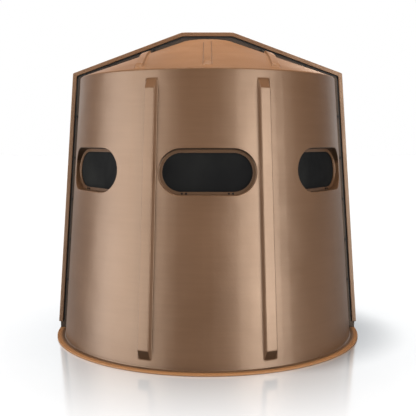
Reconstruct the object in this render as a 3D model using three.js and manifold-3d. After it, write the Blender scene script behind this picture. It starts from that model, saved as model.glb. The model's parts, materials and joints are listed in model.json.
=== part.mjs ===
// Hard-shell ground blind: two moulded half shells bolted together along a flange, six flap-covered
// windows and a hinged rear door. Millimetres, +Z up, front towards -Y, origin under the base centre.
import * as THREE from 'three';
import { mergeVertices } from 'three/addons/utils/BufferGeometryUtils.js';
import Module from 'manifold-3d';

const wasm = await Module();
wasm.setup();

// ---- Driving dimensions ----

const facets = 60; // flat sides round the shell
const skin = 6; // moulded wall thickness
const gap = 0.3; // clearance between pieces that touch

const footRadius = 974; // outside of the wall at the ground
const shoulder = new THREE.Vector2(846, 1712); // radius and height where wall meets roof
const crown = new THREE.Vector2(160, 1965); // radius and height of the flat top's edge
const shoulderFillet = 12;
const baseFlange = { radius: 1027, thickness: 8 };
const beyond = 2000; // farther out than anything

const seam = {
  footZ: 51, // the flanges start this high
  halfGap: 1.5, // half the space between the shells, filled by the gasket
  plate: 6,
  frontReach: 28, // outwards from the wall
  joggle: 38, // where the rear flange steps forward, round the front one
  rimReach: 65,
  rimFront: -14, // y of the rim's front face
  boltLine: 19,
  webRadius: 1024, // outer edge of the webs between the flanges' feet and the base flange
  webOverlap: 4,
};
const seamBolt = {
  shank: 4,
  hole: 4.5,
  washer: 9,
  washerThickness: 1.5,
  head: 7.5,
  headHeight: 5.5,
};
const sideBoltHeights = [350, 630, 910, 1190, 1470];
const roofBoltPlaces = [0.3, 0.72]; // fractions of the roof slope

const wallRib = { foot: 57, top: 1660, endSlope: 57, height: 30, wall: 5 };
const frontRibAngles = [19.3, 19.8, 24.3, 24.6]; // side, top, top, side, in degrees from the front
const rearRibAngles = [147.4, 147.7, 152.2, 152.7];
const roofRib = { halfBase: 28, halfTop: 22, height: 18, endSlope: 25, wall: 4 };
const centreRibRange = [245, 785]; // distance in front of, or behind, the centre
const sideRibRange = [60, 700];
const sideRibX = 400;

const windowAngles = [0, 55, -55, 125, -125, 180];
const doorWindow = 6; // the last window is in the door
const window = {
  height: 1131.5, // of its centre
  depth: 78, // of the ledge's inner face below the wall, at mid width
  halfWidth: 279.5,
  halfHeight: 131.5,
  ledge: 20, // width of the ledge round the opening
  ledgeThickness: 5,
};
const cover = { halfWidth: 267.5, bottom: -116, top: 118, inner: -9, outer: -1 };
const flapHinge = {
  u: 134, // sideways place of each hinge
  v: -124,
  w: -9,
  knuckle: 5,
  halfKnuckle: 12,
  halfLeaf: 24,
  pin: 2.5,
  bore: 3,
  boltV: -121.5,
  leafThickness: 3,
  leafTop: -117.5,
  lugTop: -95,
};
const flapBolt = { shank: 3, head: 5.5, headHeight: 3.5 };
const button = {
  v: 125,
  boss: 5.5,
  bossEnd: -9.4,
  play: 0.4, // between the boss and the button
  thickness: 4,
  halfWidth: 5,
  reach: 32,
  pin: 2.2,
  screwHead: 3.6,
  screwHeadHeight: 1.6,
};

const door = {
  bottom: 45,
  top: 1660,
  halfAngle: 22.5,
  bottomFillet: 40,
  topFillet: 70,
  clearance: 2,
  cutFrom: 200, // y range that the doorway's cut runs through
  cutTo: 1200,
};
const doorFrame = { outside: 24, inside: 18, step: 9, depth: 15 };
const doorHinge = {
  heights: { lower: 250, middle: 800, upper: 1400 },
  axis: 6.3, // outwards from the wall
  barrel: 6,
  pin: 3,
  bore: 3.4,
  halfLength: 40,
  halfKnuckle: 13,
  leafStart: 7,
  leafWidth: 45,
  leafThickness: 3,
};
const doorLatch = {
  height: 950,
  fromEdge: 46,
  rosette: 22,
  rosetteTop: 4.3,
  spindle: 8,
  spindlePlay: 0.5,
  stub: 5,
  hub: 14,
  hubTop: 20,
  lever: 110,
  leverFrom: 14,
  leverTo: 24,
  cam: -21,
  camThickness: 4,
  camLength: 68,
  halfWidth: 11, // of lever and cam
  nut: 9,
  nutHeight: 6,
};

// ---- Sizes worked out from those ----

const radians = THREE.MathUtils.degToRad;
const degrees = THREE.MathUtils.radToDeg;
const taper = Math.atan2(footRadius - shoulder.x, shoulder.y);
const roofSlope = Math.atan2(crown.y - shoulder.y, shoulder.x - crown.x);
const wallRadius = (z) => footRadius - z * Math.tan(taper);
const roofHeight = (x, y) => shoulder.y + (shoulder.x - Math.hypot(x, y)) * Math.tan(roofSlope);

// ---- Solids ----

// A closed geometry as a solid for joining and cutting, with its faces pointing out.
function solidOf(geometry) {
  const bare = geometry.clone();
  bare.deleteAttribute('normal');
  bare.deleteAttribute('uv');
  const merged = mergeVertices(bare, 1e-3);
  const position = merged.getAttribute('position');
  const index = merged.getIndex().array;
  const corners = [0, 1, 2].map(() => new THREE.Vector3());
  const triangles = [];
  let volume = 0;
  for (let i = 0; i < index.length; i += 3) {
    const [a, b, c] = index.slice(i, i + 3);
    if (a === b || b === c || c === a) continue;
    [a, b, c].forEach((vertex, k) => corners[k].fromBufferAttribute(position, vertex));
    volume += corners[0].dot(corners[1].clone().cross(corners[2]));
    triangles.push([a, b, c]);
  }
  if (volume < 0) triangles.forEach((triangle) => triangle.reverse());
  const vertProperties = new Float32Array(position.array);
  const triVerts = new Uint32Array(triangles.flat());
  return new wasm.Manifold(new wasm.Mesh({ numProp: 3, vertProperties, triVerts }));
}

function geometryOf(solid) {
  const mesh = solid.asOriginal().simplify(0.005).getMesh();
  const geometry = new THREE.BufferGeometry();
  geometry.setAttribute('position', new THREE.BufferAttribute(mesh.vertProperties, 3));
  geometry.setIndex(new THREE.BufferAttribute(mesh.triVerts, 1));
  geometry.computeVertexNormals();
  return geometry;
}

function join(...solids) {
  return solids.reduce((whole, solid) => whole.add(solid));
}

function block(low, high) {
  const size = high.map((value, k) => value - low[k]);
  const geometry = new THREE.BoxGeometry(...size);
  geometry.translate(...low.map((value, k) => value + size[k] / 2));
  return solidOf(geometry);
}

function rod(axis, radius, from, to, sides = 8) {
  const geometry = new THREE.CylinderGeometry(radius, radius, to - from, sides);
  geometry.translate(0, (from + to) / 2, 0);
  if (axis === 'x') geometry.rotateZ(-Math.PI / 2);
  if (axis === 'z') geometry.rotateX(Math.PI / 2);
  return solidOf(geometry);
}

// A profile of radius and height, turned round Z.
function revolve(points) {
  const geometry = new THREE.LatheGeometry(points, facets);
  geometry.rotateX(Math.PI / 2);
  return solidOf(geometry);
}

function extrude(shape, from, to, curveSegments = 8) {
  const options = { depth: to - from, bevelEnabled: false, curveSegments };
  return new THREE.ExtrudeGeometry(shape, options).translate(0, 0, from);
}

const prism = (shape, from, to, curveSegments) => solidOf(extrude(shape, from, to, curveSegments));

// A shape drawn in X and Z, given thickness along Y.
const uprightPlate = (shape, from, to) => solidOf(extrude(shape, -to, -from).rotateX(Math.PI / 2));

// A closed blanket over a grid, between two surfaces that each map a grid point to a place.
function blanket(rows, columns, upper, lower) {
  const grid = (surface) => rows.flatMap((row) => columns.map((column) => surface(row, column)));
  const points = [...grid(upper), ...grid(lower)];
  const under = rows.length * columns.length;
  const at = (i, j, layer) => layer * under + i * columns.length + j;
  const index = [];
  const quad = (a, b, c, d) => index.push(a, b, c, a, c, d);
  for (let i = 0; i + 1 < rows.length; i += 1) {
    for (let j = 0; j + 1 < columns.length; j += 1) {
      quad(at(i, j, 0), at(i, j + 1, 0), at(i + 1, j + 1, 0), at(i + 1, j, 0));
      quad(at(i, j, 1), at(i + 1, j, 1), at(i + 1, j + 1, 1), at(i, j + 1, 1));
    }
  }
  const rim = [
    ...columns.map((_, j) => [0, j]),
    ...rows.slice(1).map((_, i) => [i + 1, columns.length - 1]),
    ...columns.slice(1).map((_, j) => [rows.length - 1, columns.length - 2 - j]),
    ...rows.slice(2).map((_, i) => [rows.length - 2 - i, 0]),
  ];
  rim.forEach(([i, j], k) => {
    const [nextI, nextJ] = rim[(k + 1) % rim.length];
    quad(at(i, j, 0), at(i, j, 1), at(nextI, nextJ, 1), at(nextI, nextJ, 0));
  });
  const geometry = new THREE.BufferGeometry().setFromPoints(points);
  geometry.setIndex(index);
  return solidOf(geometry);
}

// ---- Outlines ----

// Points of a rounded corner between two straight runs.
function fillet(before, corner, after, radius, steps = 2) {
  const back = before.clone().sub(corner).normalize();
  const on = after.clone().sub(corner).normalize();
  const half = Math.acos(back.dot(on)) / 2;
  const middle = back.clone().add(on).normalize();
  const centre = middle.multiplyScalar(radius / Math.sin(half)).add(corner);
  const start = back.clone().multiplyScalar(radius / Math.tan(half)).add(corner).sub(centre);
  const turn = (Math.PI - 2 * half) * Math.sign(back.cross(on)) * -1;
  const points = [];
  for (let k = 0; k <= steps; k += 1) {
    const arm = start.clone().rotateAround(new THREE.Vector2(), (turn * k) / steps);
    points.push(arm.add(centre));
  }
  return points;
}

function roundedPolygon(corners, radii) {
  const count = corners.length;
  const points = corners.flatMap((corner, k) =>
    fillet(corners[(k + count - 1) % count], corner, corners[(k + 1) % count], radii[k], 4),
  );
  return new THREE.Shape(points);
}

function stadium(halfWidth, halfHeight, centreV = 0) {
  const shape = new THREE.Shape();
  const straight = halfWidth - halfHeight;
  shape.absarc(straight, centreV, halfHeight, -Math.PI / 2, Math.PI / 2);
  shape.absarc(-straight, centreV, halfHeight, Math.PI / 2, (3 * Math.PI) / 2);
  return shape;
}

// Right half of the shell's upright section, moved outwards by an offset, from its foot to the axis.
function halfSection(offset, footZ, radius = shoulderFillet) {
  const wallNormal = new THREE.Vector2(Math.cos(taper), Math.sin(taper));
  const roofNormal = new THREE.Vector2(Math.sin(roofSlope), Math.cos(roofSlope));
  const up = new THREE.Vector2(0, 1);
  const moved = (corner, a, b) => {
    const mitre = a.clone().add(b).multiplyScalar(offset / (1 + a.dot(b)));
    return mitre.add(corner);
  };
  const foot = new THREE.Vector2(wallRadius(footZ) + offset / Math.cos(taper), footZ);
  const eave = moved(shoulder, wallNormal, roofNormal);
  const top = moved(crown, roofNormal, up);
  return [foot, ...fillet(foot, eave, top, radius), top, new THREE.Vector2(0, crown.y + offset)];
}

// The arch-shaped band of the section between two offsets, left foot to right foot.
function arch(innerOffset, outerOffset) {
  const whole = (offset) => {
    const right = halfSection(offset, seam.footZ);
    const left = right.slice(0, -1).map((point) => new THREE.Vector2(-point.x, point.y));
    return [...right, ...left.reverse()];
  };
  return new THREE.Shape([...whole(outerOffset), ...whole(innerOffset).reverse()]);
}

// The door's outline seen from behind, grown by a margin. Its sides follow the wall's taper.
function doorOutline(margin) {
  const corner = (side, z, reach) => {
    const halfWidth = wallRadius(z) * Math.sin(radians(door.halfAngle)) + margin;
    return new THREE.Vector2(side * halfWidth, z + reach);
  };
  const corners = [
    corner(-1, door.bottom, -margin),
    corner(1, door.bottom, -margin),
    corner(1, door.top, margin),
    corner(-1, door.top, margin),
  ];
  const radii = [door.bottomFillet, door.bottomFillet, door.topFillet, door.topFillet];
  return roundedPolygon(corners, radii.map((radius) => radius + margin));
}

// The door's outline, grown by a margin, run through the rear wall.
function doorCut(margin, extra = 0) {
  return uprightPlate(doorOutline(margin), door.cutFrom - extra, door.cutTo + extra);
}

// ---- Places on the wall ----

// Axes on the wall: x round it (towards a larger angle), y up its slope, z straight out of it.
function wallFrame(angle, height, out) {
  const a = radians(angle);
  const round = new THREE.Vector3(Math.cos(a), Math.sin(a), 0);
  const away = new THREE.Vector3(Math.sin(a), -Math.cos(a), 0);
  const normal = away.clone().multiplyScalar(Math.cos(taper)).setZ(Math.sin(taper));
  const up = normal.clone().cross(round);
  const origin = away.multiplyScalar(wallRadius(height)).setZ(height);
  const place = origin.addScaledVector(normal, out);
  return new THREE.Matrix4().makeBasis(round, up, normal).setPosition(place);
}

const windowFrame = (angle) => wallFrame(angle, window.height, -window.depth);

// ---- Shells and door ----

// The moulded skin all the way round, with or without its base flange.
function wholeSkin(withFlange) {
  const outer = halfSection(0, baseFlange.thickness);
  const inner = halfSection(-skin, 0, shoulderFillet - skin);
  const flangeEdge = [baseFlange.thickness, 0].map((z) => new THREE.Vector2(baseFlange.radius, z));
  const foot = withFlange ? flangeEdge : [new THREE.Vector2(footRadius, 0)];
  return revolve([...outer.reverse(), ...foot, ...inner]);
}

const envelope = revolve([...halfSection(0, 0).reverse(), new THREE.Vector2(0, 0)]);

function wallRibSolid(angles, side) {
  const at = (lift) => (z, angle) => {
    const frame = wallFrame(side * angle, z, lift(z, angle));
    return new THREE.Vector3().setFromMatrixPosition(frame);
  };
  const grid = (inset) => {
    const turn = degrees(inset / footRadius);
    const rows = [
      wallRib.foot + inset,
      wallRib.foot + wallRib.endSlope + inset,
      wallRib.top - wallRib.endSlope - inset,
      wallRib.top - inset,
    ];
    const columns = [angles[0] + turn, angles[1] + turn, angles[2] - turn, angles[3] - turn];
    const onTop = (z, angle) => rows.indexOf(z) % 3 !== 0 && columns.indexOf(angle) % 3 !== 0;
    return { rows, columns, onTop };
  };
  const outer = grid(0);
  const body = blanket(
    outer.rows,
    outer.columns,
    at((z, angle) => (outer.onTop(z, angle) ? wallRib.height : 0)),
    at(() => -skin / 2),
  );
  const inner = grid(wallRib.wall);
  const hollow = blanket(
    inner.rows,
    inner.columns,
    at((z, angle) => (inner.onTop(z, angle) ? wallRib.height : 0) - wallRib.wall),
    at(() => -2 * skin),
  );
  return { body, hollow };
}

function roofRibSolid(centreX, range, side) {
  const bays = centreX === 0 ? 1 : 3; // a rib off the centre follows the roof's curve
  const at = (lift) => (y, x) => new THREE.Vector3(x, side * y, roofHeight(x, y) + lift(y, x));
  const grid = (inset) => {
    const start = range[0] + inset;
    const end = range[1] - inset;
    const rows = [start];
    for (let k = 0; k <= bays; k += 1) {
      rows.push(start + roofRib.endSlope + ((end - start - 2 * roofRib.endSlope) * k) / bays);
    }
    rows.push(end);
    const halfBase = roofRib.halfBase - inset;
    const halfTop = roofRib.halfTop - inset;
    const columns = [-halfBase, -halfTop, halfTop, halfBase].map((x) => x + centreX);
    const onTop = (y, x) => rows.indexOf(y) % (bays + 2) !== 0 && columns.indexOf(x) % 3 !== 0;
    return { rows, columns, onTop };
  };
  const outer = grid(0);
  const body = blanket(
    outer.rows,
    outer.columns,
    at((y, x) => (outer.onTop(y, x) ? roofRib.height : 0)),
    at(() => -skin / 2),
  );
  const inner = grid(roofRib.wall);
  const hollow = blanket(
    inner.rows,
    inner.columns,
    at((y, x) => (inner.onTop(y, x) ? roofRib.height : 0) - roofRib.wall),
    at(() => -2 * skin),
  );
  return { body, hollow };
}

// Raises ribs on a host and hollows them from inside.
function withRibs(host, ribs) {
  const raised = join(host, ...ribs.map((rib) => rib.body));
  return ribs.reduce((whole, rib) => whole.subtract(rib.hollow), raised);
}

const flapBoltPlaces = [-1, 1].flatMap((side) =>
  [-1, 1].map((end) => side * flapHinge.u + end * flapHinge.halfKnuckle),
);

// Sinks a window into a host: a pocket wall, a ledge round the opening, and the flap's fixings.
function withWindow(host, angle) {
  const frame = windowFrame(angle);
  const place = (solid) => solid.transform(frame.elements);
  const reach = 2 * window.depth;
  const growStadium = (margin) => stadium(window.halfWidth + margin, window.halfHeight + margin);
  const pocket = place(prism(growStadium(skin), 0, reach)).intersect(envelope);
  const recess = prism(growStadium(0), window.ledgeThickness, reach);
  const opening = prism(growStadium(-window.ledge), -skin, 2 * skin);
  const boss = rod('z', button.boss, button.bossEnd, skin / 2).translate([0, button.v, 0]);
  const pinHole = rod('z', button.pin + gap, button.bossEnd - 1, 1).translate([0, button.v, 0]);
  const boltHoles = flapBoltPlaces.map((u) =>
    rod('z', flapHinge.bore + 0.5, -skin, 2 * skin).translate([u, flapHinge.boltV, 0]),
  );
  const cuts = [recess, opening, pinHole, ...boltHoles];
  return cuts.reduce((whole, cut) => whole.subtract(place(cut)), join(host, pocket, place(boss)));
}

const seamBoltPlaces = (() => {
  const [foot] = halfSection(seam.boltLine, 0);
  const line = halfSection(seam.boltLine, 0, 1);
  const eave = line[1];
  const top = line[line.length - 2];
  const right = [
    ...sideBoltHeights.map((z) => new THREE.Vector2(foot.x - z * Math.tan(taper), z)),
    ...roofBoltPlaces.map((part) => eave.clone().lerp(top, part)),
  ];
  const left = right.map((place) => new THREE.Vector2(-place.x, place.y));
  return [...right, new THREE.Vector2(0, crown.y + seam.boltLine), ...left.reverse()];
})();

function withSeamHoles(host) {
  return seamBoltPlaces.reduce(
    (whole, place) => whole.subtract(rod('y', seamBolt.hole, -50, 50).translate([place.x, 0, place.y])),
    host,
  );
}

const flangeOuterY = seam.halfGap + seam.plate;
const rootOffset = -skin / 2; // flanges start inside the skin

// Flat webs on both sides, from a flange's foot down to the base flange, between two values of Y.
// Beyond the flange's own reach they end at a level of their own.
function footWebs(flangeReach, edgeTop, from, to) {
  const low = baseFlange.thickness / 2;
  const high = seam.footZ + seam.webOverlap;
  const inside = (z) => wallRadius(z) + rootOffset;
  const corners = [
    [inside(low), low],
    [seam.webRadius, low],
    [seam.webRadius, edgeTop],
    [wallRadius(high) + flangeReach, edgeTop],
    [wallRadius(high) + flangeReach, high],
    [inside(high), high],
  ];
  const web = (side) => {
    const points = corners.map(([x, z]) => new THREE.Vector2(side * x, z));
    return uprightPlate(new THREE.Shape(points), from, to);
  };
  return join(web(1), web(-1));
}

function frontShell() {
  const behind = block([-beyond, -seam.halfGap, -beyond], [beyond, beyond, 2 * beyond]);
  const [from, to] = [-flangeOuterY, -seam.halfGap];
  const flange = uprightPlate(arch(rootOffset, seam.frontReach), from, to);
  const webs = footWebs(seam.frontReach, seam.footZ - 1, from, to);
  const half = join(wholeSkin(true).subtract(behind), flange, webs);
  const ribs = [
    wallRibSolid(frontRibAngles, 1),
    wallRibSolid(frontRibAngles, -1),
    roofRibSolid(0, centreRibRange, -1),
    roofRibSolid(sideRibX, sideRibRange, -1),
    roofRibSolid(-sideRibX, sideRibRange, -1),
  ];
  const ribbed = withRibs(half, ribs);
  return withSeamHoles(windowAngles.slice(0, 3).reduce(withWindow, ribbed));
}

function rearShell() {
  const ahead = block([-beyond, -beyond, -beyond], [beyond, seam.halfGap, 2 * beyond]);
  const wallEnd = seam.joggle + seam.plate;
  const flange = join(
    uprightPlate(arch(rootOffset, wallEnd), seam.halfGap, flangeOuterY),
    uprightPlate(arch(seam.joggle, wallEnd), seam.rimFront, flangeOuterY),
    uprightPlate(arch(seam.joggle, seam.rimReach), seam.rimFront, seam.rimFront + seam.plate),
    footWebs(wallEnd, seam.footZ, seam.halfGap, flangeOuterY),
  );
  const half = join(wholeSkin(true).subtract(ahead), flange);
  const ribs = [
    wallRibSolid(rearRibAngles, 1),
    wallRibSolid(rearRibAngles, -1),
    roofRibSolid(0, centreRibRange, 1),
    roofRibSolid(sideRibX, sideRibRange, 1),
    roofRibSolid(-sideRibX, sideRibRange, 1),
  ];
  const doorway = doorCut(door.clearance);
  const ribbed = withRibs(half, ribs).subtract(doorway);
  return withSeamHoles(windowAngles.slice(3, 5).reduce(withWindow, ribbed));
}

function gasket() {
  const outside = seam.joggle - 2 * gap;
  const halfThickness = seam.halfGap - gap;
  return withSeamHoles(uprightPlate(arch(1 - skin, outside), -halfThickness, halfThickness));
}

// Bolt along Y through both flanges, with its washer and nut.
function seamBoltSolid() {
  const face = flangeOuterY + gap;
  const washerEnd = face + seamBolt.washerThickness;
  return join(
    rod('y', seamBolt.shank, -washerEnd - 1, washerEnd + 1, 6),
    rod('y', seamBolt.washer, -washerEnd, -face),
    rod('y', seamBolt.head, -washerEnd - seamBolt.headHeight, -washerEnd, 6),
    rod('y', seamBolt.washer, face, washerEnd),
    rod('y', seamBolt.head, washerEnd, washerEnd + seamBolt.headHeight, 6),
  );
}

const latchTurn = degrees(doorLatch.fromEdge / wallRadius(doorLatch.height));
const latchFrame = wallFrame(180 + door.halfAngle - latchTurn, doorLatch.height, 0);
const spindleBore = doorLatch.spindle + doorLatch.spindlePlay;

function doorPanel() {
  const leaf = wholeSkin(false).intersect(doorCut(-door.clearance));
  const spindleHole = rod('z', spindleBore, -2 * skin, 2 * skin, 12).transform(latchFrame.elements);
  return withWindow(leaf, windowAngles[doorWindow - 1]).subtract(spindleHole);
}

// A stepped ring screwed inside the doorway: it backs the shell and stops the door.
function doorFrameRing() {
  const band = (near, far) => {
    const [low, high] = [2 * baseFlange.thickness, shoulder.y - shoulderFillet];
    const at = (offset, z) => new THREE.Vector2(wallRadius(z) - offset / Math.cos(taper), z);
    return revolve([at(near, low), at(far, low), at(far, high), at(near, high), at(near, low)]);
  };
  const ring = (outside, inside) => doorCut(outside).subtract(doorCut(-inside, 100));
  const backing = ring(doorFrame.outside, -door.clearance);
  const stop = ring(door.clearance + 1, doorFrame.inside);
  return join(
    band(skin + gap, doorFrame.depth).intersect(backing),
    band(doorFrame.step, doorFrame.depth).intersect(stop),
  );
}

// ---- Window flap, its hinges and its turn button, in the window's own axes ----

function coverSolid() {
  const halfHeight = (cover.top - cover.bottom) / 2;
  const centre = (cover.top + cover.bottom) / 2;
  const plate = prism(stadium(cover.halfWidth, halfHeight, centre), cover.inner, cover.outer);
  const { u, v, w, knuckle, halfKnuckle, bore, lugTop } = flapHinge;
  const lugs = [-1, 1].map((side) => {
    const web = block([-halfKnuckle, v, w - 3], [halfKnuckle, lugTop, w + 1]);
    const barrel = rod('x', knuckle, -halfKnuckle, halfKnuckle).translate([0, v, w]);
    return join(web, barrel).translate([side * u, 0, 0]);
  });
  const bores = [-1, 1].map((side) =>
    rod('x', bore, -halfKnuckle - 1, halfKnuckle + 1).translate([side * u, v, w]),
  );
  return bores.reduce((whole, hole) => whole.subtract(hole), join(plate, ...lugs));
}

// Bracket with its pin and the two bolts that come through the ledge, about the hinge's own middle.
function flapBracketSolid() {
  const { v, w, knuckle, halfKnuckle, halfLeaf, pin, boltV, leafThickness, leafTop } = flapHinge;
  const leaf = block([-halfLeaf, v - knuckle, -gap - leafThickness], [halfLeaf, leafTop, -gap]);
  const ears = [-1, 1].map((side) => {
    const [near, far] = [halfKnuckle + gap, halfLeaf].map((u) => side * u).sort((a, b) => a - b);
    const web = block([near, v - knuckle, w], [far, v + knuckle, -gap - 1]);
    return join(web, rod('x', knuckle, near, far).translate([0, v, w]));
  });
  const hingePin = rod('x', pin, -halfKnuckle - 1, halfKnuckle + 1, 6).translate([0, v, w]);
  const bolts = [-1, 1].map((side) => {
    const seat = window.ledgeThickness + gap;
    return join(
      rod('z', flapBolt.shank, -gap - 2, seat + 1, 6),
      rod('z', flapBolt.head, seat, seat + flapBolt.headHeight, 6),
    ).translate([side * halfKnuckle, boltV, 0]);
  });
  return join(leaf, ...ears, hingePin, ...bolts);
}

// Turn button at rest, lying clear of the flap. Its pivot is on Z.
function buttonSolid() {
  const { halfWidth, reach, thickness, bossEnd, play, pin, screwHead, screwHeadHeight } = button;
  const top = bossEnd - play;
  const bottom = top - thickness;
  const bar = stadium((reach + 2 * halfWidth) / 2, halfWidth);
  const plate = prism(bar, bottom, top, 4).translate([reach / 2, 0, 0]);
  const head = rod('z', screwHead, bottom - screwHeadHeight, bottom, 6);
  return join(plate, rod('z', pin, bottom, -2), head);
}

// ---- Door hinges and latch ----

// Hinge axis on Y, leaves reaching away from it on X, wall below on -Z.
function doorHingeLeaf(side, height) {
  const { axis, leafStart, leafWidth, leafThickness, halfLength } = doorHinge;
  const radius = wallRadius(height);
  const turn = (leafStart + leafWidth / 2) / radius;
  const wallDrop = (radius + axis) * Math.cos(turn) - radius;
  const seat = -wallDrop + gap;
  const end = leafStart + leafWidth;
  const plate = block([leafStart, -halfLength, seat], [end, halfLength, seat + leafThickness]);
  const tilt = (solid) => {
    const sided = side > 0 ? solid : solid.mirror([1, 0, 0]);
    return sided.rotate([0, side * degrees(turn), 0]);
  };
  const bridge = (from, to) => tilt(block([0, from, seat], [leafStart + 1, to, seat + leafThickness]));
  return { plate: tilt(plate), bridge };
}

function doorHingeDoorLeaf(height) {
  const { barrel, bore, halfKnuckle } = doorHinge;
  const { plate, bridge } = doorHingeLeaf(1, height);
  const knuckle = rod('y', barrel, -halfKnuckle, halfKnuckle, 12);
  const hole = rod('y', bore, -halfKnuckle - 1, halfKnuckle + 1);
  return join(plate, bridge(-halfKnuckle, halfKnuckle), knuckle).subtract(hole);
}

function doorHingeFrameLeaf(height) {
  const { barrel, pin, halfKnuckle, halfLength } = doorHinge;
  const { plate, bridge } = doorHingeLeaf(-1, height);
  const ends = [[-halfLength, -halfKnuckle - gap], [halfKnuckle + gap, halfLength]];
  const knuckles = ends.map(([from, to]) => join(bridge(from, to), rod('y', barrel, from, to, 12)));
  return join(plate, ...knuckles, rod('y', pin, -halfLength - 2, halfLength + 2));
}

function rosetteSolid() {
  const { rosette, rosetteTop } = doorLatch;
  const bore = rod('z', spindleBore, -rosetteTop, 2 * rosetteTop, 12);
  return rod('z', rosette, gap, rosetteTop, 20).subtract(bore);
}

// Lever, hub, spindle and clamping nut: the lever hangs down at rest.
function leverSolid() {
  const { rosetteTop, spindle, stub, hub, hubTop, nut, nutHeight } = doorLatch;
  const { lever, leverFrom, leverTo, halfWidth, cam, camThickness } = doorLatch;
  const camEnd = cam - camThickness;
  const grip = prism(stadium(lever / 2, halfWidth), leverFrom, leverTo, 6);
  return join(
    rod('z', hub, rosetteTop + gap, hubTop, 16),
    grip.rotate([0, 0, 90]).translate([0, halfWidth - lever / 2, 0]),
    rod('z', spindle, cam + gap, rosetteTop + 2, 12),
    rod('z', stub, camEnd - 2, cam + 1),
    rod('z', nut, camEnd - gap - nutHeight, camEnd - gap, 6),
  );
}

// Cam bar on the spindle's stub, upright at rest.
function camSolid() {
  const { stub, cam, camThickness, camLength, halfWidth } = doorLatch;
  const flat = prism(stadium(camLength / 2, halfWidth), cam - camThickness, cam, 6);
  const upright = flat.rotate([0, 0, 90]).translate([0, camLength / 2 - halfWidth, 0]);
  return upright.subtract(rod('z', stub + gap, cam - camThickness - 1, cam + 1));
}

// ---- Materials ----

function material(color, roughness, metalness) {
  return new THREE.MeshStandardMaterial({ color, roughness, metalness });
}

const plastic = (color, roughness) => material(color, roughness, 0);
const metal = (color, roughness) => material(color, roughness, 0.9);

const shellBrown = plastic('#8c6a50', 0.42);
const coverBlack = plastic('#1c1b1a', 0.5);
const rubber = plastic('#14110f', 0.8);
const blackSteel = metal('#232323', 0.4);
const zincSteel = metal('#8f8f8c', 0.35);

// ---- Assembly ----

function piece(name, solid, look) {
  const mesh = new THREE.Mesh(geometryOf(solid), look);
  mesh.name = name;
  return mesh;
}

function groupAt(frame, meshes) {
  const group = new THREE.Group();
  group.applyMatrix4(frame);
  group.add(...meshes);
  return group;
}

function seamBolts() {
  return seamBoltPlaces.map((place, k) => {
    const bolt = piece(`seam_bolt_${String(k + 1).padStart(2, '0')}`, seamBoltSolid(), blackSteel);
    bolt.position.set(place.x, 0, place.y);
    return bolt;
  });
}

function windowSet(angle, k) {
  const hinges = ['left', 'right'].map((side) => {
    const hinge = piece(`window_hinge_${k + 1}_${side}`, flapBracketSolid(), blackSteel);
    hinge.position.x = side === 'left' ? -flapHinge.u : flapHinge.u;
    return hinge;
  });
  const turnButton = piece(`window_latch_${k + 1}`, buttonSolid(), coverBlack);
  turnButton.position.y = button.v;
  const flap = piece(`window_cover_${k + 1}`, coverSolid(), coverBlack);
  return groupAt(windowFrame(angle), [flap, turnButton, ...hinges]);
}

function doorHinges() {
  return Object.entries(doorHinge.heights).map(([name, height]) =>
    groupAt(wallFrame(180 - door.halfAngle, height, doorHinge.axis), [
      piece(`door_hinge_${name}_frame_leaf`, doorHingeFrameLeaf(height), zincSteel),
      piece(`door_hinge_${name}_door_leaf`, doorHingeDoorLeaf(height), zincSteel),
    ]),
  );
}

const blind = new THREE.Group();
blind.add(
  piece('front_shell', frontShell(), shellBrown),
  piece('rear_shell', rearShell(), shellBrown),
  piece('seam_gasket', gasket(), rubber),
  ...seamBolts(),
  piece('door_panel', doorPanel(), shellBrown),
  piece('door_frame', doorFrameRing(), coverBlack),
  ...doorHinges(),
  groupAt(latchFrame, [
    piece('door_latch_rosette', rosetteSolid(), coverBlack),
    piece('door_latch_handle', leverSolid(), blackSteel),
    piece('door_latch_cam', camSolid(), zincSteel),
  ]),
  ...windowAngles.map(windowSet),
);

export default blind;
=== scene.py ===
"""Looks of a hard-shell ground blind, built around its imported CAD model. Lengths are in
millimetres until a mesh is made. Front is -Y and the ground is at z = 0, as in the CAD."""

import json
import math

import bmesh
import bpy
from mathutils import Matrix, Vector


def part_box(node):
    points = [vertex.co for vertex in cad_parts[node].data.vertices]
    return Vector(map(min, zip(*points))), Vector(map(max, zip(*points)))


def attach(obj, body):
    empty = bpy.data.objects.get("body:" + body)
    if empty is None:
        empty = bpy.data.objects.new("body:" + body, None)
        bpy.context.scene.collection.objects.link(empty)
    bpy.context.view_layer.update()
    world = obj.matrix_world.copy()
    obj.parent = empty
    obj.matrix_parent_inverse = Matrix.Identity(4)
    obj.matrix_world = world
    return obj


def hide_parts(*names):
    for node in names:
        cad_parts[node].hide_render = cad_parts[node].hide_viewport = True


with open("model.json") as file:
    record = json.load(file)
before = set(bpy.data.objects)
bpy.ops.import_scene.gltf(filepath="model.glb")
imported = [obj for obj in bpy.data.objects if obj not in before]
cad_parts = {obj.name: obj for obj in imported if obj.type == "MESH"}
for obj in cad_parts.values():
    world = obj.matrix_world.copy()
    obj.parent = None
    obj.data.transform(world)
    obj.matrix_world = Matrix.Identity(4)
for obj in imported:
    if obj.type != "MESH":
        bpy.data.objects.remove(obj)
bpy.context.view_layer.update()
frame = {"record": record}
BODY_OF = {
    node: body for body, nodes in frame["record"]["behaviour"]["bodies"].items() for node in nodes
}

MM = 0.001

# ---- The blind's own dimensions, as in its CAD source ----

SKIN = 6
FOOT_RADIUS = 974
SHOULDER = (846, 1712)
CROWN = (160, 1965)
CROWN_BLEND = 3
SHOULDER_FILLET = 12
BASE_FLANGE = {"radius": 1027, "thickness": 11, "root": 8}

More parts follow.
